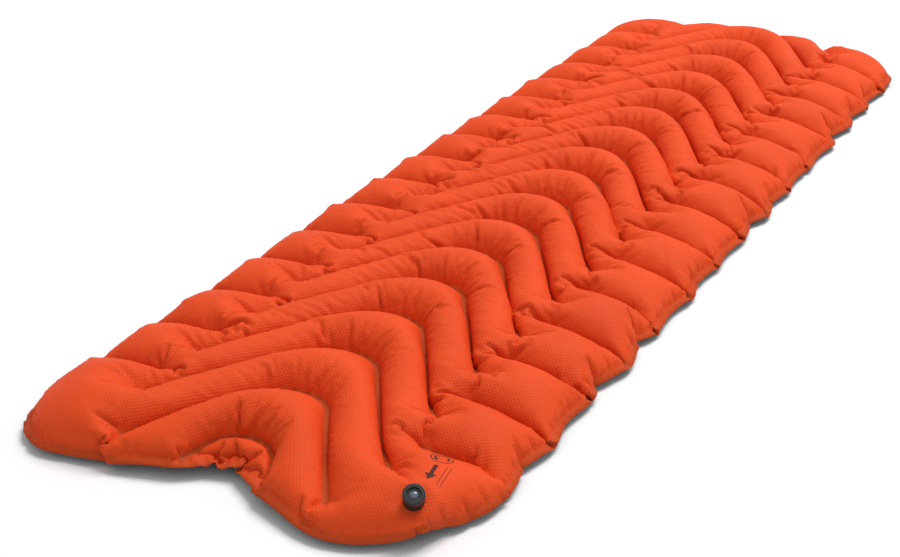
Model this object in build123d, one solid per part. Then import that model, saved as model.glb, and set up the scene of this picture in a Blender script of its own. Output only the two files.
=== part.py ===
from build123d import *
from math import cos, radians, sin, tan
import os

# Inflatable sleeping pad, lying inflated on the ground with its valve side up.
# Millimetres. X runs across the pad, Y along it (the valve end is at -Y), Z up.
# The origin is on the ground, under the middle of the pad.

# Overall size
PAD_WIDTH = 590.0
PAD_LENGTH = 1830.0
PAD_HEIGHT = 65.0
CORNER_RADIUS = 75.0

# The two coated fabric sheets, welded together face to face along the rim
SHEET = 0.8
SEAM_HEIGHT = 12.0
LIP_WIDTH = 10.0

# Weld pattern: chevrons across the middle, short cross welds in both side rails
WELD_PITCH = 107.0
CHEVRON_HALF_WIDTH = 165.0
CHEVRON_DEPTH = 207.0
FIRST_CHEVRON_END = -1028.0
CHEVRON_COUNT = 17
RAIL_WELD_START = -767.0
RAIL_WELD_COUNT = 15

# Insulation batts, one in every chamber
BATT_THICKNESS = 18.0
BATT_MID_HEIGHT = 32.5
WELD_MARGIN = 18.0
END_MARGIN = 45.0
RAIL_BATT_WIDTH = 70.0
RAIL_BATT_X = 222.0
BATT_ROUND = 12.0
MIN_BATT_AREA = 1500.0

# Valve place: on the rounded margin of the near right corner, leaning outwards
VALVE_X = 235.5
VALVE_Y = -878.0
VALVE_Z = 47.0
VALVE_LEAN = 32.0
VALVE_HEADING = -58.0
SEAT_RADIUS = 23.0

# Valve base: a flange welded under the top sheet, a collar on it and a tubular stem
FLANGE_RADIUS = 21.0
FLANGE_THICKNESS = 1.4
COLLAR_RADIUS = 11.2
COLLAR_HEIGHT = 2.0
STEM_RADIUS = 8.6
STEM_BORE = 6.9
STEM_TOP = 12.0
LUG_RADIUS = 9.8
LUG_BOTTOM = 9.4
LUG_HEIGHT = 1.4
LUG_ANGLE = 24.0

# Valve travel: a quarter turn of the knob lifts it and the mouthpiece
LIFT = 5.0
RUNNING_GAP = 0.05
CLEAR_GAP = 0.3

# Valve core: a domed head on a post that three spokes hold in the stem
CORE_RING_BORE = 5.7
CORE_RING_HEIGHT = 3.0
SPOKE_WIDTH = 1.6
SPOKE_HEIGHT = 2.2
SPOKE_COUNT = 3
POST_RADIUS = 2.0
HEAD_RADIUS = 4.3
HEAD_BOTTOM = 14.6
HEAD_RIM = 17.0
HEAD_DOME = 1.3

# Mouthpiece: the sliding inner tube that closes on the core's head
MOUTH_BOTTOM = 4.0
MOUTH_BORE = 5.4
MOUTH_LIP_BORE = 4.55
MOUTH_LIP_BOTTOM = 15.2
MOUTH_TOP = 16.7
MOUTH_FLANGE_RADIUS = 9.4
MOUTH_FLANGE_BOTTOM = 14.9

# Knob: the ribbed ring that is gripped and turned
KNOB_RADIUS = 12.0
KNOB_BOTTOM = 2.6
KNOB_TOP = 19.0
KNOB_MOUTH = 8.0
KNOB_EDGE = 0.8
GRIP_RADIUS = 11.7
KNOB_RELIEF_RADIUS = 10.2
GRIP_BOTTOM = 5.0
GRIP_TOP = 13.8
GRIP_GROOVES = 24
GRIP_GROOVE_RADIUS = 0.9

# Retaining ring and O-rings
RING_INNER = 8.95
RING_OUTER = 10.6
RING_BOTTOM = 13.4
RING_THICKNESS = 0.9
STEM_ORING_SECTION = 0.7
STEM_ORING_Z = 7.0
HEAD_ORING_SECTION = 0.45
HEAD_ORING_Z = 15.9
ORING_SLACK = 0.1


def outline(inset):
    """Face: the pad's rounded outline, drawn in by inset all round."""
    width = PAD_WIDTH - 2 * inset
    length = PAD_LENGTH - 2 * inset
    return RectangleRounded(width, length, CORNER_RADIUS - inset)


def cushion(levels):
    """Solid through the outlines given as (inset, height) pairs."""
    return loft([Pos(0, 0, height) * outline(inset) for inset, height in levels])


def rim(bottom):
    """Flat lip of one sheet, all round the pad."""
    ring = outline(0) - outline(LIP_WIDTH + SHEET / 2)
    return Pos(0, 0, bottom) * extrude(ring, SHEET)


def valve_place():
    """Location of the valve's seat: +Z is the valve's axis, 0 is the top of the fabric."""
    return Location((VALVE_X, VALVE_Y, VALVE_Z)) * Rotation(0, 0, VALVE_HEADING) * Rotation(0, VALVE_LEAN, 0)


def disc(radius, bottom, top):
    """Solid cylinder on the local Z axis between two heights."""
    return Pos(0, 0, bottom) * extrude(Circle(radius), top - bottom)


def tube(outer, inner, bottom, top):
    """Hollow cylinder on the local Z axis between two heights."""
    return Pos(0, 0, bottom) * extrude(Circle(outer) - Circle(inner), top - bottom)


def oring(seal_radius, section, height):
    """O-ring whose outer edge stops just short of the wall that it seals against."""
    middle = seal_radius - RUNNING_GAP - section
    return Pos(0, 0, height) * Torus(middle, section)


def oring_groove(seal_radius, section, height):
    """Square groove that holds such an O-ring, open on its outer side."""
    inner = seal_radius - RUNNING_GAP - 2 * section
    half = section + ORING_SLACK
    return tube(seal_radius + 1, inner, height - half, height + half)


def top_sheet():
    """Upper fabric shell: a high crown with soft margins and a flat seat for the valve."""
    margin = [(10, SEAM_HEIGHT), (11, 22), (16, 32), (28, 42), (42, 51), (56, 59), (70, PAD_HEIGHT)]
    crown = cushion(margin)
    inside = cushion([(inset + SHEET, height - SHEET) for inset, height in margin])
    place = valve_place()
    above = 40.0
    below = 12.0
    crown = crown - place * disc(SEAT_RADIUS, 0, above) + place * disc(SEAT_RADIUS, -below, 0)
    inside = inside - place * disc(SEAT_RADIUS + SHEET, -SHEET, above)
    inside = inside + place * disc(SEAT_RADIUS - SHEET, -2 * below, -SHEET)
    room = Pos(0, 0, SEAM_HEIGHT) * extrude(outline(0), PAD_HEIGHT)
    shell = (crown - inside) & room
    shell = shell + rim(SEAM_HEIGHT)
    return shell - place * disc(STEM_RADIUS + RUNNING_GAP, -below, 1)


def bottom_sheet():
    """Lower fabric shell: a shallow tray whose flat underside lies on the ground."""
    margin = [(10, SEAM_HEIGHT), (11, 8), (15, 4), (24, 1.2), (36, 0)]
    tray = cushion(margin)
    inside = cushion([(inset + SHEET, height + SHEET) for inset, height in margin])
    return tray - inside + rim(SEAM_HEIGHT - SHEET)


def chevron(apex_y, breadth):
    """Face: one chevron band of even breadth along Y, its point towards +Y."""
    reach = CHEVRON_HALF_WIDTH
    low = apex_y - breadth / 2
    high = apex_y + breadth / 2
    return make_face(
        Polyline(
            (-reach, low - CHEVRON_DEPTH),
            (0, low),
            (reach, low - CHEVRON_DEPTH),
            (reach, high - CHEVRON_DEPTH),
            (0, high),
            (-reach, high - CHEVRON_DEPTH),
            close=True,
        )
    )


def insulation_chevrons():
    """Batts in the chevron chambers; those at the near end are cut short by the rim."""
    room = Rectangle(2 * CHEVRON_HALF_WIDTH, PAD_LENGTH - 2 * END_MARGIN)
    breadth = WELD_PITCH - 2 * WELD_MARGIN
    batts = []
    for index in range(-1, CHEVRON_COUNT):
        apex_y = FIRST_CHEVRON_END + CHEVRON_DEPTH + (index + 0.5) * WELD_PITCH
        for piece in (chevron(apex_y, breadth) & room).faces():
            if piece.area > MIN_BATT_AREA:
                batts.append(extrude(piece, BATT_THICKNESS, dir=(0, 0, 1)))
    return Pos(0, 0, BATT_MID_HEIGHT - BATT_THICKNESS / 2) * Compound(children=batts)


def insulation_rail(side):
    """Batts in one side rail: small ones between cross welds and a long one in each corner."""
    first = RAIL_WELD_START
    last = RAIL_WELD_START + (RAIL_WELD_COUNT - 1) * WELD_PITCH
    end = PAD_LENGTH / 2 - END_MARGIN
    spans = [(-end, first)]
    for index in range(RAIL_WELD_COUNT - 1):
        spans.append((first + index * WELD_PITCH, first + (index + 1) * WELD_PITCH))
    spans.append((last, end))
    batts = []
    for low, high in spans:
        length = high - low - 2 * WELD_MARGIN
        batt = extrude(RectangleRounded(RAIL_BATT_WIDTH, length, BATT_ROUND), BATT_THICKNESS)
        batts.append(Pos(side * RAIL_BATT_X, (low + high) / 2, 0) * batt)
    return Pos(0, 0, BATT_MID_HEIGHT - BATT_THICKNESS / 2) * Compound(children=batts)


def valve_base():
    """Flange under the fabric, collar on top of it, and the stem with its two cam lugs."""
    bottom = -SHEET - FLANGE_THICKNESS
    base = disc(FLANGE_RADIUS, bottom, -SHEET)
    base += disc(STEM_RADIUS, bottom, STEM_TOP)
    base += disc(COLLAR_RADIUS, 0, COLLAR_HEIGHT)
    lugs = tube(LUG_RADIUS, STEM_RADIUS - 0.5, LUG_BOTTOM, LUG_BOTTOM + LUG_HEIGHT)
    width = 2 * LUG_RADIUS * tan(radians(LUG_ANGLE / 2))
    base += lugs & Box(4 * LUG_RADIUS, width, 4 * STEM_TOP)
    return base - disc(STEM_BORE, bottom - 1, STEM_TOP + 1)


def valve_core():
    """Ring in the stem's bore, three spokes, a post and the domed head that seals the mouth."""
    bottom = -SHEET - FLANGE_THICKNESS
    neck = HEAD_BOTTOM - HEAD_RADIUS + POST_RADIUS
    crown = HEAD_RIM + HEAD_DOME
    ball_radius = (HEAD_RADIUS**2 + HEAD_DOME**2) / (2 * HEAD_DOME)
    dome = RadiusArc((0, crown), (HEAD_RADIUS, HEAD_RIM), ball_radius)
    rest = Polyline(
        (0, crown),
        (0, bottom),
        (POST_RADIUS, bottom),
        (POST_RADIUS, neck),
        (HEAD_RADIUS, HEAD_BOTTOM),
        (HEAD_RADIUS, HEAD_RIM),
    )
    core = revolve(Plane.XZ * make_face([dome, rest]), Axis.Z)
    core -= oring_groove(MOUTH_LIP_BORE, HEAD_ORING_SECTION, HEAD_ORING_Z)
    core += tube(STEM_BORE, CORE_RING_BORE, bottom, bottom + CORE_RING_HEIGHT)
    reach = (CORE_RING_BORE + STEM_BORE) / 2
    spoke = Pos(reach / 2, 0, bottom + CORE_RING_HEIGHT / 2) * Box(reach, SPOKE_WIDTH, SPOKE_HEIGHT)
    for index in range(SPOKE_COUNT):
        core += Rotation(0, 0, index * 360 / SPOKE_COUNT) * spoke
    return core


def valve_head_oring():
    """Seal in the groove round the core's head."""
    return oring(MOUTH_LIP_BORE, HEAD_ORING_SECTION, HEAD_ORING_Z)


def valve_mouthpiece():
    """Sliding tube with a flange that the knob carries and a lip that closes on the head."""
    outer = STEM_BORE - RUNNING_GAP
    body = disc(outer, MOUTH_BOTTOM, MOUTH_TOP)
    body += disc(MOUTH_FLANGE_RADIUS, MOUTH_FLANGE_BOTTOM, MOUTH_TOP)
    body -= disc(MOUTH_BORE, MOUTH_BOTTOM - 1, MOUTH_LIP_BOTTOM)
    body -= disc(MOUTH_LIP_BORE, MOUTH_LIP_BOTTOM - 1, MOUTH_TOP + 1)
    return body - oring_groove(STEM_BORE, STEM_ORING_SECTION, STEM_ORING_Z)


def valve_stem_oring():
    """Seal in the groove round the mouthpiece, sliding in the stem's bore."""
    return oring(STEM_BORE, STEM_ORING_SECTION, STEM_ORING_Z)


def valve_retaining_ring():
    """Open snap ring in the knob, under the mouthpiece's flange."""
    ring = tube(RING_OUTER, RING_INNER, RING_BOTTOM, RING_BOTTOM + RING_THICKNESS)
    gap = Pos(RING_OUTER, 0, RING_BOTTOM) * Box(RING_OUTER, 3.0, 4 * RING_THICKNESS)
    return ring - gap


def valve_knob():
    """Ribbed grip ring: it rides up the stem's lugs as it turns and carries the mouthpiece."""
    body = disc(GRIP_RADIUS, KNOB_BOTTOM, GRIP_TOP) + disc(KNOB_RADIUS, GRIP_TOP, KNOB_TOP)
    rims = body.edges().filter_by(GeomType.CIRCLE).sort_by(Axis.Z)
    body = fillet([rims[0], rims[-1]], KNOB_EDGE)
    relief_bottom = LUG_BOTTOM - LIFT - CLEAR_GAP
    relief_top = LUG_BOTTOM + LUG_HEIGHT + CLEAR_GAP
    ceiling = MOUTH_TOP + CLEAR_GAP
    body -= disc(STEM_RADIUS + RUNNING_GAP, 0, RING_BOTTOM)
    body -= disc(KNOB_RELIEF_RADIUS, relief_bottom, relief_top)
    body -= disc(RING_OUTER, RING_BOTTOM, RING_BOTTOM + RING_THICKNESS)
    body -= disc(MOUTH_FLANGE_RADIUS + CLEAR_GAP, RING_BOTTOM + RING_THICKNESS, ceiling)
    body -= disc(KNOB_MOUTH, ceiling, KNOB_TOP + 1)
    groove = disc(GRIP_GROOVE_RADIUS, GRIP_BOTTOM, GRIP_TOP)
    for index in range(GRIP_GROOVES):
        angle = radians(index * 360 / GRIP_GROOVES)
        middle = GRIP_RADIUS + GRIP_GROOVE_RADIUS / 3
        body -= Pos(middle * cos(angle), middle * sin(angle), 0) * groove
    return body


VALVE = valve_place()
PARTS = {
    "top_sheet": top_sheet(),
    "bottom_sheet": bottom_sheet(),
    "insulation_chevrons": insulation_chevrons(),
    "insulation_left_rail": insulation_rail(-1),
    "insulation_right_rail": insulation_rail(1),
    "valve_base": VALVE * valve_base(),
    "valve_core": VALVE * valve_core(),
    "valve_head_oring": VALVE * valve_head_oring(),
    "valve_mouthpiece": VALVE * valve_mouthpiece(),
    "valve_stem_oring": VALVE * valve_stem_oring(),
    "valve_retaining_ring": VALVE * valve_retaining_ring(),
    "valve_knob": VALVE * valve_knob(),
}

os.makedirs("parts", exist_ok=True)
for name, shape in PARTS.items():
    export_step(shape, f"parts/{name}.step")
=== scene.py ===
import math

import bpy
import numpy as np
from mathutils import Matrix, Vector
from mathutils.bvhtree import BVHTree
from mathutils.geometry import delaunay_2d_cdt
from mathutils.kdtree import KDTree


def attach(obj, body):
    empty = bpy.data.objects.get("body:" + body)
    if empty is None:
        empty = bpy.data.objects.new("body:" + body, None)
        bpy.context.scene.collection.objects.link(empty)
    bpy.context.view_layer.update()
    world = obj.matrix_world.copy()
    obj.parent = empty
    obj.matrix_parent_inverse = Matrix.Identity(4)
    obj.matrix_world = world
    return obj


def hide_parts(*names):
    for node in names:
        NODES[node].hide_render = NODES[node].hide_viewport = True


# The pad is made as the real one is: two coated sheets are cut flat, welded together along the rim,
# the chevrons and the side rails' cross welds, and then blown up. Metres throughout.
# In the flat cut, x runs across and y along, and y is 0 where chevron 0 ends at the rails.

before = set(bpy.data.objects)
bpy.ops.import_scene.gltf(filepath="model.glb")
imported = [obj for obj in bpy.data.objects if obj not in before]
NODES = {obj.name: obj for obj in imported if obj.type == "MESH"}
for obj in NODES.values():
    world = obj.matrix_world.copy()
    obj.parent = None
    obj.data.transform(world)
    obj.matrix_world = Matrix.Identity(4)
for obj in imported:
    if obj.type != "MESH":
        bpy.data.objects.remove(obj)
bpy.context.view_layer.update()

# ---- The flat cut
FLAT_PITCH = 0.131
FLAT_LEG = math.radians(46.7)
PITCH = 0.107
LEG = math.radians(56.5)
APEX_RADIUS = 0.055
FLAT_APEX_RADIUS = APEX_RADIUS * LEG / FLAT_LEG
REACH = 0.165
LEG_LENGTH = (REACH - APEX_RADIUS * math.sin(LEG)) / math.cos(LEG)
FLAT_REACH = FLAT_APEX_RADIUS * math.sin(FLAT_LEG) + LEG_LENGTH * math.cos(FLAT_LEG)
FLAT_RAIL = 0.145
FLAT_HALF = FLAT_REACH + FLAT_RAIL
FLAT_NEAR = -0.277
FLAT_FAR = 1.918
CORNER_NEAR_LEFT = 0.108
CORNER_NEAR_RIGHT = 0.178
CORNER_FAR = 0.105
LIP = 0.008
WELD_HALF = 0.003
CHEVRONS = range(-3, 15)
FIRST_CHEVRON_MARGINS = {-3: 0.006, -2: 0.040}
FAR_MARGIN = 0.012
RAIL_WELDS = range(15)
RAIL_PHASE = -0.556
RAIL_WELD_GAP = 0.028

# ---- The inflated pad
# Welded points are drawn to RIM_HEIGHT along the rim, a little higher in the middle of the two ends, and
# to WELD_HEIGHT from RIM_REACH inwards. The drawing is weak, so the cloth's own tension moves them off it.
FIRST_END_Y = -0.708
RAIL_WIDTH = 0.132
WELD_HEIGHT = 0.030
RIM_HEIGHT = 0.010
RIM_END_LIFT = 0.006
RIM_LIFT_REACH = 0.080
RIM_REACH = 0.090
SHEET_HALF = 0.0003
SHEET_GAP = 0.0008
PARTING_ROUNDS = 4
START_ROOM = 0.042
START_BULGE = 0.028

# ---- The simulation
# COARSE and FINE are the meshes' spacings. A crumple or stiffness is the share of its lost length that
# an edge or a pair of neighbours gets back in one step: 1 keeps it straight, 0 lets it fold up.
COARSE = 0.010
COARSE_STEPS = 260
FINE = 0.0044
FINE_STEPS = 130
DOUBLE_CRUMPLE = 0.3
DOUBLE_STIFFNESS = 0.15
LIP_STIFFNESS = 0.5
FINE_EVENING = 0.05
HEIGHT_PULL = 0.008
TOP_SPEED = 0.0015
PUSH_EVERY = 3
GRIP_STEPS = 60
AVERAGED = 8
CREASE_GAIN = 1.0
CREASE_ROUNDS = 3

# ---- The meshes: shares of their spacing, and limits that tell which points lie on a weld or the rim
OUTLINE_STEP = 0.9
VALVE_FINER = 1.5
RIM_ROOM = 0.45
POINT_ROOM = 0.62
MERGE = 1e-6
TRIANGLES_INSIDE = 1
WELD_SAMPLES = 6
SHORTEST_RUN = 4
ON_WELD = WELD_HALF * 1.05
ON_LIP = LIP * 1.02
CUT_EDGE = LIP * 0.9
BAND_ROOM = LIP * 0.6
ON_CIRCLE = 1.01

# ---- The valve's seat, from the CAD: the line square to its flange, the flange's middle and its sizes
VALVE_AXIS = Vector((0.280812, -0.449392, 0.848048))
VALVE_SEAT = Vector((0.2355, -0.878, 0.047))
SEAT_RADIUS = 0.0215
STEM_HOLE = 0.0095

# ---- The fill
BATT_WELD_MARGIN = 0.018
BATT_RIM_MARGIN = 0.045
BATT_EDGE = 0.012
BATT_THINNEST = 0.12
BATT_SHARE = 0.55
BATT_GAP = 0.020
STRAND_HEIGHT = 0.002

# ---- The fabric: two shades of its colour, and a darker one laid on the welds, partly as their own colour and partly as painted shade, and in the grooves as painted shade
ORANGE = ((0.76, 0.066, 0.010), (0.83, 0.077, 0.013))
ORANGE_WELD_AND_SHADE = (0.34, 0.058, 0.012)
SLATE = ((0.026, 0.032, 0.045), (0.034, 0.041, 0.056))
SLATE_WELD_AND_SHADE = (0.020, 0.024, 0.032)
# Strengths of the darker colour: on the welds and, weaker, along the rim it is partly their own colour and
# partly painted shade; in the grooves it is painted shade.
RIM_SHADE = 0.6
WELD_SHADE = 0.75
GROOVE_SHADE = 0.26
GLOSS_SPREAD = 0.10
WELD_FLATTENING = 0.8
PUCKER_HEIGHT = 0.0012
EMBOSS_HEIGHT = 0.00034
GRAIN_HEIGHT = 0.00005
DIAMOND_WIDTH = 0.0060
DIAMOND_LENGTH = 0.0050
DIAMOND_FULLNESS = 0.6

# ---- The print beside the valve, along and across a line that leaves the valve's middle at PRINT_TURN
INK = (0.012, 0.012, 0.013)
INK_COVER = 0.98
INK_WEAR = 0.14
PRINT_TURN = math.radians(94)
PRINT_RING_AWAY = 0.083
PRINT_RING = 0.0125
PRINT_ARC = 0.0078
PRINT_LINE = 0.0009
ARC_LINE = PRINT_LINE * 1.6
RULE_LINE = PRINT_LINE * 0.6
PRINT_SOFTNESS = PRINT_LINE * 0.4
PRINT_ARC_END = 2.2
PRINT_ARC_HEAD = (0.006, 0.0042)
POINTER_BASE = 0.044
POINTER_HEAD = (0.012, 0.0075)
SHAFT_MIDDLE = 0.053
SHAFT_HALF = (0.010, 0.0026)
RULES_MIDDLE = 0.048
RULES_HALF = 0.019
RULES_ASIDE = (0.0115, 0.0160)

# ---- Moulded pieces and the setting
EDGE_WEAR = 0.6
SPECKLE_SHADE = 0.15
GLOSS_PATCHES = 0.18
FLOOR_REACH = 14.0
WORLD_STRENGTH = 0.55
KEY_POWER = 385.0


def leg_drop(x, radius, angle):
    """How far a chevron's line has come down from its apex, at x from the middle."""
    x = abs(x)
    bend = radius * math.sin(angle)
    if x < bend:
        return radius - math.sqrt(radius * radius - x * x)
    return radius * (1 - math.cos(angle)) + (x - bend) * math.tan(angle)


def reach_at(length, radius, angle):
    """x of the point of a chevron's line at that length from its apex."""
    if length < radius * angle:
        return radius * math.sin(length / radius)
    return radius * math.sin(angle) + (length - radius * angle) * math.cos(angle)


def length_at(x, radius, angle):
    """Length of a chevron's line from its apex out to x."""
    bend = radius * math.sin(angle)
    if x < bend:
        return radius * math.asin(x / radius)
    return radius * angle + (x - bend) / math.cos(angle)


FLAT_DROP = leg_drop(FLAT_REACH, FLAT_APEX_RADIUS, FLAT_LEG)
DROP = leg_drop(REACH, APEX_RADIUS, LEG)


def corner_radius(x, y):
    """Radius of the flat cut's corner in the quarter that holds a point; works on arrays."""
    near = np.where(x < 0, CORNER_NEAR_LEFT, CORNER_NEAR_RIGHT)
    return np.where(y < (FLAT_NEAR + FLAT_FAR) / 2, near, CORNER_FAR)


def rim_distance(points):
    """Distance of flat points inside the cut's edge."""
    x, y = points[:, 0], points[:, 1]
    radius = corner_radius(x, y)
    across = np.abs(x) - (FLAT_HALF - radius)
    along = np.abs(y - (FLAT_NEAR + FLAT_FAR) / 2) - ((FLAT_FAR - FLAT_NEAR) / 2 - radius)
    outside = np.hypot(np.maximum(across, 0), np.maximum(along, 0))
    return radius - outside - np.minimum(np.maximum(across, along), 0)


def rim_loop(inset, step):
    """Closed loop of flat points, inset from the cut's edge."""
    points = []
    corners = [(1, -1, -90), (1, 1, 0), (-1, 1, 90), (-1, -1, 180)]
    for across, along, first in corners:
        x = across * FLAT_HALF
        y = FLAT_NEAR if along < 0 else FLAT_FAR
        outer = float(corner_radius(x, y))
        radius = outer - inset
        count = max(3, round(radius * math.pi / 2 / step))
        for index in range(count + 1):
            angle = math.radians(first + 90 * index / count)
            centre = (x - across * outer, y - along * outer)
            points.append((centre[0] + radius * math.cos(angle), centre[1] + radius * math.sin(angle)))
    loop = []
    for start, end in zip(points, points[1:] + points[:1]):
        count = max(1, round(math.dist(start, end) / step))
        for index in range(count):
            share = index / count
            x = start[0] + (end[0] - start[0]) * share
            y = start[1] + (end[1] - start[1]) * share
            loop.append((x, y))
    return np.array(loop)


def runs(points, keep):
    """The unbroken stretches of the points that are kept."""
    found = [[]]
    for point, kept in zip(points, keep):
        if kept:
            found[-1].append(point)
        elif found[-1]:
            found.append([])
    return [run for run in found if len(run) >= SHORTEST_RUN]


def weld_lines(step):
    """Middle lines of the chevron welds and of the rails' cross welds."""
    lines = []
    whole = FLAT_APEX_RADIUS * FLAT_LEG + LEG_LENGTH
    half_count = round(whole / step)
    for chevron in CHEVRONS:
        low = FLAT_NEAR + LIP + FIRST_CHEVRON_MARGINS.get(chevron, 0)
        high = FLAT_FAR - LIP - FAR_MARGIN
        points = []
        for index in range(-half_count, half_count + 1):
            length = abs(index) / half_count * whole
            x = math.copysign(reach_at(length, FLAT_APEX_RADIUS, FLAT_LEG), index)
            y = chevron * FLAT_PITCH + FLAT_DROP - leg_drop(x, FLAT_APEX_RADIUS, FLAT_LEG)
            points.append((x, y))
        lines += runs(points, [low < y < high for x, y in points])
    start = FLAT_REACH + RAIL_WELD_GAP
    end = FLAT_HALF - LIP
    count = round((end - start) / step)
    for weld in RAIL_WELDS:
        y = (weld + RAIL_PHASE) * FLAT_PITCH
        for side in (-1, 1):
            reaches = [start + (end - start) * index / count for index in range(count + 1)]
            lines.append([(side * x, y) for x in reaches])
    return [np.array(line) for line in lines]


def band_loop(line):
    """Closed loop round a weld of even width."""
    along = np.gradient(line, axis=0)
    along /= np.linalg.norm(along, axis=1)[:, None]
    across = np.stack([-along[:, 1], along[:, 0]], 1) * WELD_HALF
    start = line[:1] - along[:1] * WELD_HALF
    end = line[-1:] + along[-1:] * WELD_HALF
    return np.concatenate([line + across, end, (line - across)[::-1], start])


def tree_of(points):
    """Search tree of flat points."""
    tree = KDTree(len(points))
    for index, (x, y) in enumerate(points):
        tree.insert((x, y, 0), index)
    tree.balance()
    return tree


def unique_edges(faces):
    """Each edge of the triangles once, as pairs of points."""
    edges = np.concatenate([faces[:, [0, 1]], faces[:, [1, 2]], faces[:, [2, 0]]])
    return np.unique(np.sort(edges, 1), axis=0)


def opposite_pairs(faces):
    """The two points that face each other across each edge that two triangles share."""
    corner = np.concatenate([faces[:, 2], faces[:, 0], faces[:, 1]])
    edges = np.sort(np.concatenate([faces[:, [0, 1]], faces[:, [1, 2]], faces[:, [2, 0]]]), 1)
    order = np.lexsort((edges[:, 1], edges[:, 0]))
    edges, corner = edges[order], corner[order]
    shared = (edges[1:] == edges[:-1]).all(1)
    return np.stack([corner[:-1][shared], corner[1:][shared]], 1)


def circle(centre, radius, spacing):
    """Closed loop of flat points round a centre."""
    count = round(2 * math.pi * radius / spacing)
    turn = np.arange(count) * 2 * math.pi / count
    return np.stack([centre[0] + radius * np.cos(turn), centre[1] + radius * np.sin(turn)], 1)


def cut_mesh(spacing, valve_centre=None):
    """The flat cut as one triangle mesh for both sheets, with the welds' outlines as its edges."""
    step = spacing * OUTLINE_STEP
    lines = weld_lines(step)
    loops = [rim_loop(0, spacing), rim_loop(LIP, spacing)]
    for line in lines:
        loop = band_loop(line)
        loops.append(loop[rim_distance(loop) > BAND_ROOM])
    if valve_centre is not None:
        loops += [circle(valve_centre, radius, step / VALVE_FINER) for radius in (STEM_HOLE, SEAT_RADIUS)]
    edges = []
    first = 0
    for loop in loops:
        edges += [(first + index, first + (index + 1) % len(loop)) for index in range(len(loop))]
        first += len(loop)
    fixed = np.concatenate(loops)
    tree = tree_of(fixed)
    row_height = spacing * math.sqrt(3) / 2
    rows = int((FLAT_FAR - FLAT_NEAR) / row_height) + 1
    columns = int(2 * FLAT_HALF / spacing) + 2
    row, column = np.mgrid[0:rows, 0:columns]
    x = -FLAT_HALF + (column + 0.5 * (row % 2)) * spacing
    y = FLAT_NEAR + (row + 0.5) * row_height
    lattice = np.stack([x.ravel(), y.ravel()], 1)
    lattice = lattice[rim_distance(lattice) > LIP + spacing * RIM_ROOM]
    lattice = lattice[[tree.find((x, y, 0))[2] > spacing * POINT_ROOM for x, y in lattice]]
    points = [Vector(p) for p in np.concatenate([fixed, lattice]).tolist()]
    made = delaunay_2d_cdt(points, edges, [], TRIANGLES_INSIDE, MERGE, False)
    flat = np.array([tuple(v) for v in made[0]])
    faces = np.array([f for f in made[2] if len(f) == 3])
    a, b, c = flat[faces[:, 0]], flat[faces[:, 1]], flat[faces[:, 2]]
    turned = (b[:, 0] - a[:, 0]) * (c[:, 1] - a[:, 1]) < (b[:, 1] - a[:, 1]) * (c[:, 0] - a[:, 0])
    faces[turned] = faces[turned][:, ::-1]
    shares = np.linspace(0, 1, WELD_SAMPLES)
    samples = np.concatenate([l[:-1] + (l[1:] - l[:-1]) * share for l in lines for share in shares])
    near_weld = tree_of(samples)
    weld = np.array([near_weld.find((x, y, 0))[2] for x, y in flat])
    rim = rim_distance(flat)
    bonded = (weld < ON_WELD) | (rim < ON_LIP)
    count = len(flat)
    lower = np.arange(count)
    lower[~bonded] = count + np.arange((~bonded).sum())
    edges = unique_edges(faces)
    pairs = opposite_pairs(faces)
    return {
        "flat": flat,
        "faces": faces,
        "weld": weld,
        "rim": rim,
        "bonded": bonded,
        "lower": lower,
        "edges": both_sheets(flat, edges, lower),
        "pairs": both_sheets(flat, pairs, lower),
    }


def both_sheets(flat, pairs, lower):
    """Pairs of the upper sheet and those of the lower one, each with its flat length."""
    length = np.linalg.norm(flat[pairs[:, 0]] - flat[pairs[:, 1]], axis=1)
    below = lower[pairs]
    own = (below >= len(flat)).any(1)
    return np.concatenate([pairs, below[own]]), np.concatenate([length, length[own]])


def independent_groups(pairs, lengths, shares):
    """Splits the pairs into groups in which no point comes twice, so that a group moves at once."""
    used = [0] * (pairs.max() + 1)
    groups = []
    for index, (a, b) in enumerate(pairs.tolist()):
        taken = used[a] | used[b]
        colour = 0
        while taken >> colour & 1:
            colour += 1
        if colour == len(groups):
            groups.append([])
        groups[colour].append(index)
        used[a] |= 1 << colour
        used[b] |= 1 << colour
    return [(pairs[g, 0].copy(), pairs[g, 1].copy(), lengths[g], shares[g]) for g in groups]


def laid_out(mesh):
    """First guess at the inflated pad: the chevrons already drawn together, the tubes slightly open."""
    flat, weld, rim = mesh["flat"], mesh["weld"], mesh["rim"]
    count = len(flat)
    place = np.zeros((mesh["lower"].max() + 1, 3))
    shrink = PITCH / FLAT_PITCH
    for index, (x, y) in enumerate(flat):
        across = abs(x)
        if across <= FLAT_REACH:
            length = length_at(across, FLAT_APEX_RADIUS, FLAT_LEG)
            new_x = reach_at(length, APEX_RADIUS, LEG)
            level = y - FLAT_DROP + leg_drop(across, FLAT_APEX_RADIUS, FLAT_LEG)
            new_y = FIRST_END_Y + level * shrink + DROP - leg_drop(new_x, APEX_RADIUS, LEG)
        else:
            new_x = REACH + (across - FLAT_REACH) * RAIL_WIDTH / FLAT_RAIL
            new_y = FIRST_END_Y + y * shrink
        place[index, :2] = (math.copysign(new_x, x), new_y)
    room = np.clip(np.minimum(weld - WELD_HALF, rim - LIP) / START_ROOM, 0, 1)
    bulge = START_BULGE * np.sqrt(1 - (1 - room) ** 2)
    place[:count, 2] = bulge
    own = ~mesh["bonded"]
    place[mesh["lower"][own], :2] = place[:count][own, :2]
    place[mesh["lower"][own], 2] = -bulge[own]
    place[:, 2] += WELD_HEIGHT
    return place


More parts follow.
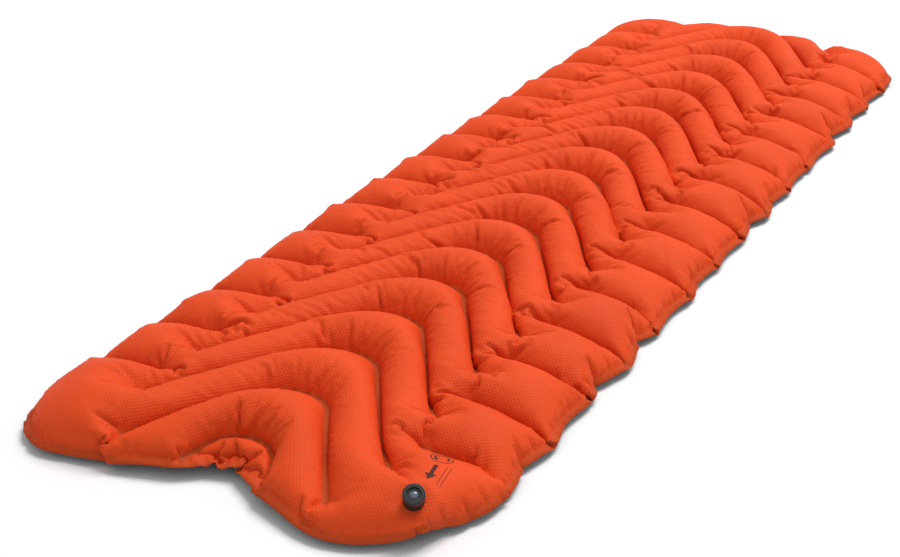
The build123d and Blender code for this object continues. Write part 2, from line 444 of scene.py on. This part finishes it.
def carried_over(coarse, place, fine):
    """The fine mesh's points on the coarse mesh's settled shape."""
    points = np.column_stack([coarse["flat"], np.zeros(len(coarse["flat"]))])
    tree = BVHTree.FromPolygons(points.tolist(), coarse["faces"].tolist())
    flat = fine["flat"]
    face = np.array([tree.find_nearest((x, y, 0))[2] for x, y in flat])
    corners = coarse["faces"][face]
    a, b, c = (coarse["flat"][corners[:, i]] for i in range(3))
    whole = (b[:, 0] - a[:, 0]) * (c[:, 1] - a[:, 1]) - (b[:, 1] - a[:, 1]) * (c[:, 0] - a[:, 0])
    share_b = (flat[:, 0] - a[:, 0]) * (c[:, 1] - a[:, 1]) - (flat[:, 1] - a[:, 1]) * (c[:, 0] - a[:, 0])
    share_c = (b[:, 0] - a[:, 0]) * (flat[:, 1] - a[:, 1]) - (b[:, 1] - a[:, 1]) * (flat[:, 0] - a[:, 0])
    share = np.stack([whole - share_b - share_c, share_b, share_c], 1) / whole[:, None]
    above = np.einsum("ij,ijk->ik", share, place[corners])
    below = np.einsum("ij,ijk->ik", share, place[coarse["lower"][corners]])
    new = np.zeros((fine["lower"].max() + 1, 3))
    own = ~fine["bonded"]
    new[: len(flat)] = np.where(own[:, None], above, (above + below) / 2)
    new[fine["lower"][own]] = below[own]
    return new


def area_normals(place, faces):
    """Each point's share of the area round it, as a vector along the normal."""
    first = place[faces[:, 0]]
    area = np.cross(place[faces[:, 1]] - first, place[faces[:, 2]] - first) / 6
    corner = faces.ravel()
    columns = [np.bincount(corner, np.repeat(area[:, i], 3), len(place)) for i in range(3)]
    return np.stack(columns, 1)


def pull(place, group, only_push):
    """Moves each pair of points to its flat length, or part of the way if it is shorter."""
    a, b, length, give = group
    apart = place[b] - place[a]
    now = np.sqrt(np.einsum("ij,ij->i", apart, apart))
    step = (now - length) / now * 0.5
    step = np.where(step < 0, step * give, 0.0 if only_push else step)
    apart *= step[:, None]
    place[a] += apart
    place[b] -= apart


def neighbour_middles(place, pairs):
    """The middle of each point's neighbours among the pairs, or the point itself where it has none."""
    ends, others = pairs.ravel(), pairs[:, ::-1].ravel()
    number = np.bincount(ends, minlength=len(place))[:, None]
    columns = [np.bincount(ends, place[others, i], len(place)) for i in range(3)]
    return np.where(number > 0, np.stack(columns, 1) / np.maximum(number, 1), place)


def sharpened(mesh, place, held):
    """Folds and tucks made crisper: what sets the open cloth off from its smooth form grows."""
    smooth = place
    for _ in range(CREASE_ROUNDS):
        smooth = neighbour_middles(smooth, mesh["edges"][0])
    gain = np.full(len(place), CREASE_GAIN)
    gain[: len(mesh["flat"])][mesh["bonded"]] = 0
    gain[held] = 0
    sharp = place + (place - smooth) * gain[:, None]
    np.maximum(sharp[:, 2], 0, out=sharp[:, 2])
    return sharp


def parted(mesh, place):
    """Moves the two sheets off each other where one has bulged through the other beside a seam."""
    own = ~mesh["bonded"]
    lower = mesh["lower"][own]
    upper = np.where(own)[0]
    free = place.copy()
    for _ in range(PARTING_ROUNDS):
        normal = area_normals(free, mesh["faces"])[upper]
        normal /= np.maximum(np.linalg.norm(normal, axis=1), 1e-12)[:, None]
        apart = np.einsum("ij,ij->i", free[upper] - free[lower], normal)
        move = normal * (np.maximum(SHEET_GAP - apart, 0) / 2)[:, None]
        free[upper] += move
        free[lower] -= move
        np.maximum(free[:, 2], 0, out=free[:, 2])
    return free


def shared_out(pairs, double, single_share, double_share):
    """Each pair's share of resistance; those that lie in welded, double fabric have their own."""
    return np.where(double[pairs[0]].all(1), double_share, single_share)


def held_heights(mesh, held):
    """Heights that welded points are drawn to: low along the rim, at mid thickness inside."""
    inward = np.clip((mesh["rim"][held] - LIP) / RIM_REACH, 0, 1)
    from_rail = FLAT_REACH - np.abs(mesh["flat"][held, 0])
    rim_height = RIM_HEIGHT + RIM_END_LIFT * np.clip(from_rail / RIM_LIFT_REACH, 0, 1)
    return rim_height + (WELD_HEIGHT - rim_height) * inward * inward * (3 - 2 * inward)


def inflate(mesh, place, steps, pressure, crumple, stiffness, damping, evening=0.0, valve=None):
    """Blows the welded sheets up: pressure along the normals, edges that hold their length."""
    lower, bonded, count = mesh["lower"], mesh["bonded"], len(mesh["flat"])
    open_faces = mesh["faces"][~bonded[mesh["faces"]].all(1)]
    skin = np.concatenate([open_faces, lower[open_faces][:, ::-1]])
    double = np.zeros(len(place), bool)
    double[:count] = bonded
    lip = np.zeros(len(place), bool)
    lip[:count] = mesh["rim"] < ON_LIP
    cut_edge = np.zeros(len(place), bool)
    cut_edge[:count] = mesh["rim"] < CUT_EDGE
    edge_share = shared_out(mesh["edges"], double, crumple, DOUBLE_CRUMPLE)
    edge_groups = independent_groups(*mesh["edges"], edge_share)
    pair_share = shared_out(mesh["pairs"], double, stiffness, DOUBLE_STIFFNESS)
    pair_share[cut_edge[mesh["pairs"][0]].any(1)] = LIP_STIFFNESS
    pair_groups = independent_groups(*mesh["pairs"], pair_share)
    flat_area = np.median(np.linalg.norm(area_normals(place, skin), axis=1))
    lip_pairs = mesh["edges"][0][lip[mesh["edges"][0]].all(1)]
    held = np.where(bonded)[0]
    height = held_heights(mesh, held)
    speed = np.zeros_like(place)
    total = np.zeros_like(place)
    for step in range(steps):
        if step % PUSH_EVERY == 0:
            push = area_normals(place, skin) * (pressure / flat_area)
        speed += push
        before = place.copy()
        place += speed
        for group in edge_groups if step % 2 else edge_groups[::-1]:
            pull(place, group, False)
        if step % 2:
            for group in pair_groups:
                pull(place, group, True)
        if evening:
            place += evening * (neighbour_middles(place, lip_pairs) - place)
        place[held, 2] += HEIGHT_PULL * (height - place[held, 2])
        if valve is not None:
            hold_valve(place, valve, min(1, (step + 1) / GRIP_STEPS))
        np.maximum(place[:, 2], 0, out=place[:, 2])
        speed = (place - before) * damping
        fast = np.linalg.norm(speed, axis=1)
        speed *= (TOP_SPEED / np.maximum(fast, TOP_SPEED))[:, None]
        if step >= steps - AVERAGED:
            total += place
    return total / AVERAGED


def valve_seat(mesh, centre):
    """The upper sheet's points that the valve's flange holds, with their offsets in the flat cut."""
    offset = mesh["flat"] - centre
    members = np.where(np.hypot(offset[:, 0], offset[:, 1]) < SEAT_RADIUS * ON_CIRCLE)[0]
    across = Vector((1, 0, 0)) - VALVE_AXIS * VALVE_AXIS.x
    across.normalize()
    along = VALVE_AXIS.cross(across)
    return members, offset[members], np.array(across), np.array(along)


def hold_valve(place, valve, grip):
    """Presses the seat's points onto the valve's flange, turned as the cloth lies."""
    members, offset, across, along = valve
    now = place[members] - np.array(VALVE_SEAT)
    u, v = now @ across, now @ along
    sine = (offset[:, 0] * v - offset[:, 1] * u).sum()
    cosine = (offset[:, 0] * u + offset[:, 1] * v).sum()
    turn = math.atan2(sine, cosine)
    c, s = math.cos(turn), math.sin(turn)
    target = np.outer(c * offset[:, 0] - s * offset[:, 1], across)
    target += np.outer(s * offset[:, 0] + c * offset[:, 1], along)
    place[members] += (target + np.array(VALVE_SEAT) - place[members]) * grip


def settled_pad():
    """The coarse mesh blown up, then the fine one from its shape with the valve in its seat."""
    coarse = cut_mesh(COARSE)
    rough = inflate(
        coarse, laid_out(coarse), COARSE_STEPS, pressure=1.2e-5, crumple=0.3, stiffness=0.0, damping=0.97
    )
    upper = rough[: len(coarse["flat"])]
    centre = coarse["flat"][np.argmin(np.linalg.norm(upper - np.array(VALVE_SEAT), axis=1))]
    fine = cut_mesh(FINE, centre)
    steps = FINE_STEPS
    place = carried_over(coarse, rough, fine)
    seat = valve_seat(fine, centre)
    place = inflate(
        fine, place, steps, pressure=4e-6, crumple=0.55, stiffness=0.002, damping=0.95,
        evening=FINE_EVENING, valve=seat,
    )
    return coarse, fine, parted(fine, sharpened(fine, place, seat[0])), centre


# ---- Pieces


def new_object(name, points, faces):
    """Smooth mesh object in the scene."""
    mesh = bpy.data.meshes.new(name)
    mesh.from_pydata(points.tolist(), [], faces if isinstance(faces, list) else faces.tolist())
    mesh.polygons.foreach_set("use_smooth", np.ones(len(mesh.polygons), bool))
    mesh.update()
    made = bpy.data.objects.new(name, mesh)
    bpy.context.scene.collection.objects.link(made)
    return made


def give_cut(made, flat, weld):
    """Stores the flat cut as a UV map, and how near each point is to a weld."""
    mesh = made.data
    corner = np.zeros(len(mesh.loops), np.int32)
    mesh.loops.foreach_get("vertex_index", corner)
    mesh.uv_layers.new(name="cut").data.foreach_set("uv", flat[corner].astype(np.float32).ravel())
    mesh.attributes.new("weld", "FLOAT", "POINT").data.foreach_set("value", weld.astype(np.float32))


def boundary_loops(faces):
    """Directed edges of the triangles that no other triangle shares."""
    edges = np.concatenate([faces[:, [0, 1]], faces[:, [1, 2]], faces[:, [2, 0]]])
    low = edges.min(1) * (edges.max() + 1) + edges.max(1)
    _, index, count = np.unique(low, return_index=True, return_counts=True)
    return edges[index[count == 1]]


def sheet_piece(name, mesh, place, upper, hole=None):
    """One sheet of the pad, with its cut edge turned to the seam's middle."""
    count = len(mesh["flat"])
    points = place[:count].copy() if upper else place[mesh["lower"]].copy()
    faces = mesh["faces"] if upper else mesh["faces"][:, ::-1]
    if hole is not None:
        away = np.linalg.norm(mesh["flat"] - hole, axis=1)
        faces = faces[(away[faces] > STEM_HOLE * ON_CIRCLE).any(1)]
    normal = area_normals(points, faces)
    normal /= np.maximum(np.linalg.norm(normal, axis=1), 1e-12)[:, None]
    middle = points.copy()
    points += normal * SHEET_HALF
    np.maximum(points[:, 2], 0, out=points[:, 2])
    edges = boundary_loops(faces)
    edges = edges[mesh["rim"][edges].max(1) < LIP / 2]
    ring = np.unique(edges)
    number = np.zeros(count, int)
    number[ring] = count + np.arange(len(ring))
    a, b = edges[:, 0], edges[:, 1]
    skirt = np.concatenate([np.stack([b, a, number[a]], 1), np.stack([b, number[a], number[b]], 1)])
    made = new_object(name, np.concatenate([points, middle[ring]]), np.concatenate([faces, skirt]))
    flat = np.concatenate([mesh["flat"], mesh["flat"][ring]])
    # The weld mask darkens the cloth in its material, and along the rim at RIM_SHADE: partly the seams'
    # own colour, partly painted shade.
    near = np.clip(1 - (mesh["weld"] - WELD_HALF) / WELD_HALF, 0, 1)
    rim = np.clip(1 - (mesh["rim"] - LIP) / WELD_HALF, 0, 1)
    weld = np.maximum(near, rim * RIM_SHADE)
    give_cut(made, flat, np.concatenate([weld, weld[ring]]))
    return made


def batt_piece(name, mesh, place, inside):
    """The insulation in the chosen chambers: batts between the sheets, thinner at their edges."""
    count = len(mesh["flat"])
    room = np.minimum(mesh["weld"] - BATT_WELD_MARGIN, mesh["rim"] - BATT_RIM_MARGIN)
    chosen = mesh["faces"][((room > 0) & inside)[mesh["faces"]].all(1)]
    used = np.unique(chosen)
    number = np.zeros(count, int)
    number[used] = np.arange(len(used))
    faces = number[chosen]
    above, below = place[:count][used], place[mesh["lower"]][used]
    round_off = np.sqrt(np.clip(room[used] / BATT_EDGE, BATT_THINNEST, 1))[:, None]
    half = (above - below) / 2 * BATT_SHARE * round_off
    points = np.concatenate([(above + below) / 2 + half, (above + below) / 2 - half])
    shift = len(used)
    edges = boundary_loops(faces)
    a, b = edges[:, 0], edges[:, 1]
    side = np.concatenate([np.stack([b, a, a + shift], 1), np.stack([b, a + shift, b + shift], 1)])
    return new_object(name, points, np.concatenate([faces, faces[:, ::-1] + shift, side]))


# ---- Materials


class Field:
    """A number that varies over a surface; arithmetic on it adds nodes to its material."""

    def __init__(self, tree, source):
        self.tree = tree
        self.source = source

    def math(self, operation, *others, clamp=False):
        node = self.tree.nodes.new("ShaderNodeMath")
        node.operation = operation
        node.use_clamp = clamp
        for socket, value in zip(node.inputs, (self, *others)):
            if isinstance(value, Field):
                self.tree.links.new(value.source, socket)
            else:
                socket.default_value = value
        return Field(self.tree, node.outputs[0])

    def __add__(self, other):
        return self.math("ADD", other)

    def __sub__(self, other):
        return self.math("SUBTRACT", other)

    def __mul__(self, other):
        return self.math("MULTIPLY", other)

    def above(self, level, softness):
        """0 below the level and 1 above it, with a soft step."""
        return (self - level).math("MULTIPLY", 1 / softness, clamp=True)


def material(name, roughness, **sockets):
    """New Principled material, its node tree and its shader."""
    made = bpy.data.materials.new(name)
    made.use_nodes = True
    shader = made.node_tree.nodes["Principled BSDF"]
    shader.inputs["Roughness"].default_value = roughness
    for socket, value in sockets.items():
        shader.inputs[socket.replace("_", " ")].default_value = value
    return made, made.node_tree, shader


def coordinates(tree, uv):
    """The flat cut's coordinates, or the object's own."""
    if uv:
        node = tree.nodes.new("ShaderNodeUVMap")
        node.uv_map = "cut"
        return node.outputs["UV"]
    return tree.nodes.new("ShaderNodeTexCoord").outputs["Object"]


def axes(tree, vector):
    """The x and y of a vector as fields."""
    node = tree.nodes.new("ShaderNodeSeparateXYZ")
    tree.links.new(vector, node.inputs[0])
    return Field(tree, node.outputs[0]), Field(tree, node.outputs[1])


def noise(tree, vector, scale, detail=3.0, stretch=(1, 1, 1)):
    """Noise field from 0 to 1; scale is in features per metre."""
    mapping = tree.nodes.new("ShaderNodeMapping")
    mapping.inputs["Scale"].default_value = stretch
    tree.links.new(vector, mapping.inputs["Vector"])
    node = tree.nodes.new("ShaderNodeTexNoise")
    node.inputs["Scale"].default_value = scale
    node.inputs["Detail"].default_value = detail
    tree.links.new(mapping.outputs[0], node.inputs["Vector"])
    return Field(tree, node.outputs["Fac"])


def blended(tree, share, low, high):
    """Colour between two, by a field; each is a colour or another blend's socket."""
    node = tree.nodes.new("ShaderNodeMix")
    node.data_type = "RGBA"
    tree.links.new(share.source, node.inputs["Factor"])
    for socket, colour in ((node.inputs[6], low), (node.inputs[7], high)):
        if isinstance(colour, bpy.types.NodeSocket):
            tree.links.new(colour, socket)
        else:
            socket.default_value = (*colour, 1)
    return node.outputs[2]


def bumps(tree, shader, *layers):
    """Relief from (field, height in metres) layers."""
    last = None
    for field, height in layers:
        node = tree.nodes.new("ShaderNodeBump")
        node.inputs["Distance"].default_value = height
        tree.links.new(field.source, node.inputs["Height"])
        if last is not None:
            tree.links.new(last, node.inputs["Normal"])
        last = node.outputs[0]
    tree.links.new(last, shader.inputs["Normal"])


def diamond_relief(x, y):
    """Raised diamonds with narrow grooves between them, along both diagonals."""
    across, along = x * (math.pi / DIAMOND_WIDTH), y * (math.pi / DIAMOND_LENGTH)
    one = (across + along).math("SINE").math("ABSOLUTE")
    other = (across - along).math("SINE").math("ABSOLUTE")
    return one.math("MINIMUM", other).math("POWER", DIAMOND_FULLNESS)


def weld_field(tree):
    """1 on a weld, 0 away from it."""
    node = tree.nodes.new("ShaderNodeAttribute")
    node.attribute_name = "weld"
    return Field(tree, node.outputs["Fac"])


def within(value, limit):
    """1 where the value is between minus and plus the limit, 0 outside."""
    return (value.math("ABSOLUTE") * -1.0 + limit).above(0, PRINT_SOFTNESS)


def arrow_head(along, across, length, half_width):
    """Mask of a triangle whose base is at 0 and whose tip is at the length."""
    taper = (along * (-half_width / length) + half_width) - across.math("ABSOLUTE")
    return along.above(0, PRINT_SOFTNESS) * taper.above(0, PRINT_SOFTNESS)


def arrow_print(x, y, centre):
    """Mask of the generic print by the valve: a turning arrow in a ring, a pointer and two rules."""
    c, s = math.cos(PRINT_TURN), math.sin(PRINT_TURN)
    x, y = x - float(centre[0]), y - float(centre[1])
    along, across = x * c + y * s, y * c - x * s
    u, v = along - PRINT_RING_AWAY, across
    away = (u * u + v * v).math("SQRT")
    ring = within(away - PRINT_RING, PRINT_LINE)
    arc = within(away - PRINT_ARC, ARC_LINE) * within(v.math("ARCTAN2", u), PRINT_ARC_END)
    end_c, end_s = math.cos(PRINT_ARC_END), math.sin(PRINT_ARC_END)
    du, dv = u - PRINT_ARC * end_c, v - PRINT_ARC * end_s
    head = arrow_head(du * -end_s + dv * end_c, dv * -end_s - du * end_c, *PRINT_ARC_HEAD)
    pointer = arrow_head(along * -1.0 + POINTER_BASE, across, *POINTER_HEAD)
    shaft = within(along - SHAFT_MIDDLE, SHAFT_HALF[0]) * within(across, SHAFT_HALF[1])
    mask = ring
    for part in (arc, head, pointer, shaft):
        mask = mask.math("MAXIMUM", part)
    for aside in RULES_ASIDE:
        rule = within(along - RULES_MIDDLE, RULES_HALF) * within(across + aside, RULE_LINE)
        mask = mask.math("MAXIMUM", rule)
    return mask


def fabric(name, colours, weld_and_shade_colour, roughness, print_centre=None):
    """Coated fabric with an embossed diamond texture and painted shade in its grooves, smoother and darker
    on the welds, that darkness partly their own colour and partly painted shade.
    """
    made, tree, shader = material(name, roughness, Specular_IOR_Level=0.15, IOR=1.45)
    cut = coordinates(tree, True)
    x, y = axes(tree, cut)
    weld = weld_field(tree)
    cloudy = noise(tree, cut, scale=9)
    relief = diamond_relief(x, y)
    colour = blended(tree, cloudy.above(level=0.35, softness=0.35), *colours)
    # Painted shade: the diamond relief's grooves are darkened toward the darker colour, as if shaded.
    painted_groove_shade = relief * -GROOVE_SHADE + GROOVE_SHADE
    colour = blended(tree, painted_groove_shade, colour, weld_and_shade_colour)
    # Darker on the welds and, weaker, along the rim: partly the welds' own brownish colour, partly painted
    # shade of the valleys they lie in.
    colour = blended(tree, weld * WELD_SHADE, colour, weld_and_shade_colour)
    if print_centre is not None:
        ink = arrow_print(x, y, print_centre) * (relief * -INK_WEAR + INK_COVER)
        colour = blended(tree, ink, colour, INK)
    tree.links.new(colour, shader.inputs["Base Color"])
    fine = noise(tree, cut, scale=900, detail=2)
    rough = cloudy * GLOSS_SPREAD + fine * GLOSS_SPREAD + (roughness - GLOSS_SPREAD)
    tree.links.new(rough.source, shader.inputs["Roughness"])
    flat_weld = weld * -WELD_FLATTENING + 1.0
    pucker = noise(tree, cut, scale=60, detail=4)
    embossed = relief * flat_weld
    bumps(tree, shader, (pucker, PUCKER_HEIGHT), (embossed, EMBOSS_HEIGHT), (fine, GRAIN_HEIGHT))
    return made


def batt_material():
    """White staple fibre."""
    made, tree, shader = material("staple_fibre", roughness=0.95, Sheen_Weight=0.3)
    place = coordinates(tree, False)
    strands = noise(tree, place, scale=160, detail=8, stretch=(1, 4, 1))
    colour = blended(tree, strands, (0.55, 0.55, 0.53), (0.88, 0.88, 0.86))
    tree.links.new(colour, shader.inputs["Base Color"])
    bumps(tree, shader, (strands, STRAND_HEIGHT))
    return made


def moulded(name, dark, light, roughness, grain, **sockets):
    """Moulded plastic or rubber: fine grain, uneven gloss and paler, rubbed edges."""
    made, tree, shader = material(name, roughness, **sockets)
    place = coordinates(tree, False)
    patches = noise(tree, place, scale=250)
    speckle = noise(tree, place, scale=2500, detail=2)
    geometry = tree.nodes.new("ShaderNodeNewGeometry")
    edges = Field(tree, geometry.outputs["Pointiness"]).above(level=0.53, softness=0.05)
    wear = edges * (patches * EDGE_WEAR)
    colour = blended(tree, wear + speckle * SPECKLE_SHADE, dark, light)
    tree.links.new(colour, shader.inputs["Base Color"])
    rough = patches * GLOSS_PATCHES + (roughness - GLOSS_PATCHES / 2)
    tree.links.new(rough.source, shader.inputs["Roughness"])
    bumps(tree, shader, (speckle, grain))
    return made


def dress(node, made):
    """Gives a CAD node its material."""
    NODES[node].data.materials.clear()
    NODES[node].data.materials.append(made)


# ---- Setting: floor, light and camera


def floor_material():
    """Matt, nearly white paper."""
    made, tree, shader = material("studio_floor", roughness=0.9, Specular_IOR_Level=0.1)
    place = coordinates(tree, False)
    colour = blended(tree, noise(tree, place, scale=0.8), (0.88, 0.88, 0.88), (0.90, 0.90, 0.90))
    tree.links.new(colour, shader.inputs["Base Color"])
    return made


def soft_light(name, place, target, width, length, power):
    """Area light that faces a target."""
    light = bpy.data.lights.new(name, "AREA")
    light.shape = "RECTANGLE"
    light.size = width
    light.size_y = length
    light.energy = power
    made = bpy.data.objects.new(name, light)
    made.location = place
    made.rotation_euler = (Vector(target) - Vector(place)).to_track_quat("-Z", "Y").to_euler()
    bpy.context.scene.collection.objects.link(made)


def studio():
    """Pale floor that runs on to the horizon, white surroundings and a soft light overhead."""
    signs = ((-1, -1), (1, -1), (1, 1), (-1, 1))
    corners = [(x * FLOOR_REACH, y * FLOOR_REACH, 0) for x, y in signs]
    floor = new_object("floor", np.array(corners), [(0, 1, 2, 3)])
    floor.data.materials.append(floor_material())
    world = bpy.data.worlds.new("studio")
    world.use_nodes = True
    world.node_tree.nodes["Background"].inputs["Color"].default_value = (1.0, 1.0, 1.0, 1)
    world.node_tree.nodes["Background"].inputs["Strength"].default_value = WORLD_STRENGTH
    bpy.context.scene.world = world
    soft_light(
        "overhead", place=(0.9, 2.6, 6.0), target=(0, 0, 0), width=3.2, length=4.2, power=KEY_POWER
    )
    bpy.context.scene.view_settings.view_transform = "Standard"


def camera():
    """Camera above the near right corner, looking along the pad."""
    azimuth, elevation, roll = (math.radians(a) for a in (26.08, 26.06, 0.98))
    target = Vector((0.1004, -0.3238, 0.0325))
    distance = 2.1508
    look = Vector((
        -math.sin(azimuth) * math.cos(elevation),
        math.cos(azimuth) * math.cos(elevation),
        -math.sin(elevation),
    ))
    right = Vector((math.cos(azimuth), math.sin(azimuth), 0))
    up = right.cross(look)
    across = right * math.cos(roll) + up * math.sin(roll)
    upward = up * math.cos(roll) - right * math.sin(roll)
    data = bpy.data.cameras.new("camera")
    data.sensor_width = 36
    data.lens = 63.63
    data.shift_x = -0.0956
    data.shift_y = 0.0009
    made = bpy.data.objects.new("camera", data)
    place = target - look * distance
    rows = [(across[i], upward[i], -look[i], place[i]) for i in range(3)]
    made.matrix_world = Matrix((*rows, (0, 0, 0, 1)))
    bpy.context.scene.collection.objects.link(made)
    bpy.context.scene.camera = made


def main():
    studio()
    camera()
    coarse, fine, place, centre = settled_pad()
    top = sheet_piece("top_skin", fine, place, True, centre)
    bottom = sheet_piece("bottom_skin", fine, place, False)
    orange = fabric("coated_orange", ORANGE, ORANGE_WELD_AND_SHADE, roughness=0.6, print_centre=centre)
    slate = fabric("coated_slate", SLATE, SLATE_WELD_AND_SHADE, roughness=0.5)
    top.data.materials.append(orange)
    bottom.data.materials.append(slate)
    for skin, node, slot in ((top, "top_sheet", "top_fabric"), (bottom, "bottom_sheet", "bottom_fabric")):
        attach(skin, "pad")
        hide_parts(node)
    inner = carried_over(fine, place, coarse)
    x = coarse["flat"][:, 0]
    batts = {
        "insulation_chevrons": np.abs(x) < FLAT_REACH,
        "insulation_left_rail": x < -FLAT_REACH - BATT_GAP,
        "insulation_right_rail": x > FLAT_REACH + BATT_GAP,
    }
    fibre = batt_material()
    for node, inside in batts.items():
        batt = batt_piece(node.replace("insulation", "batts"), coarse, inner, inside)
        batt.data.materials.append(fibre)
        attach(batt, "pad")
        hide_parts(node)
    dress_valve()


def dress_valve():
    """The valve keeps its CAD pieces, in moulded plastics, rubber and spring steel."""
    nylon = moulded(
        "black_nylon", (0.006, 0.006, 0.007), (0.045, 0.045, 0.047), roughness=0.36, grain=0.00004
    )
    acetal = moulded(
        "black_acetal", (0.012, 0.012, 0.014), (0.05, 0.05, 0.055), roughness=0.3, grain=0.00002
    )
    base = moulded(
        "base_nylon", (0.014, 0.014, 0.015), (0.055, 0.055, 0.055), roughness=0.5, grain=0.00004
    )
    core = moulded(
        "core_acetal", (0.10, 0.12, 0.17), (0.20, 0.23, 0.30),
        roughness=0.14, grain=0.00001, Coat_Weight=0.6,
    )
    rubber = moulded(
        "rubber", (0.020, 0.020, 0.020), (0.045, 0.045, 0.045), roughness=0.7, grain=0.00003
    )
    steel = moulded(
        "spring_steel", (0.42, 0.42, 0.43), (0.6, 0.6, 0.61), roughness=0.3, grain=0.00001, Metallic=1.0
    )
    dress("valve_knob", nylon)
    dress("valve_mouthpiece", acetal)
    dress("valve_base", base)
    dress("valve_core", core)
    dress("valve_head_oring", rubber)
    dress("valve_stem_oring", rubber)
    dress("valve_retaining_ring", steel)


main()
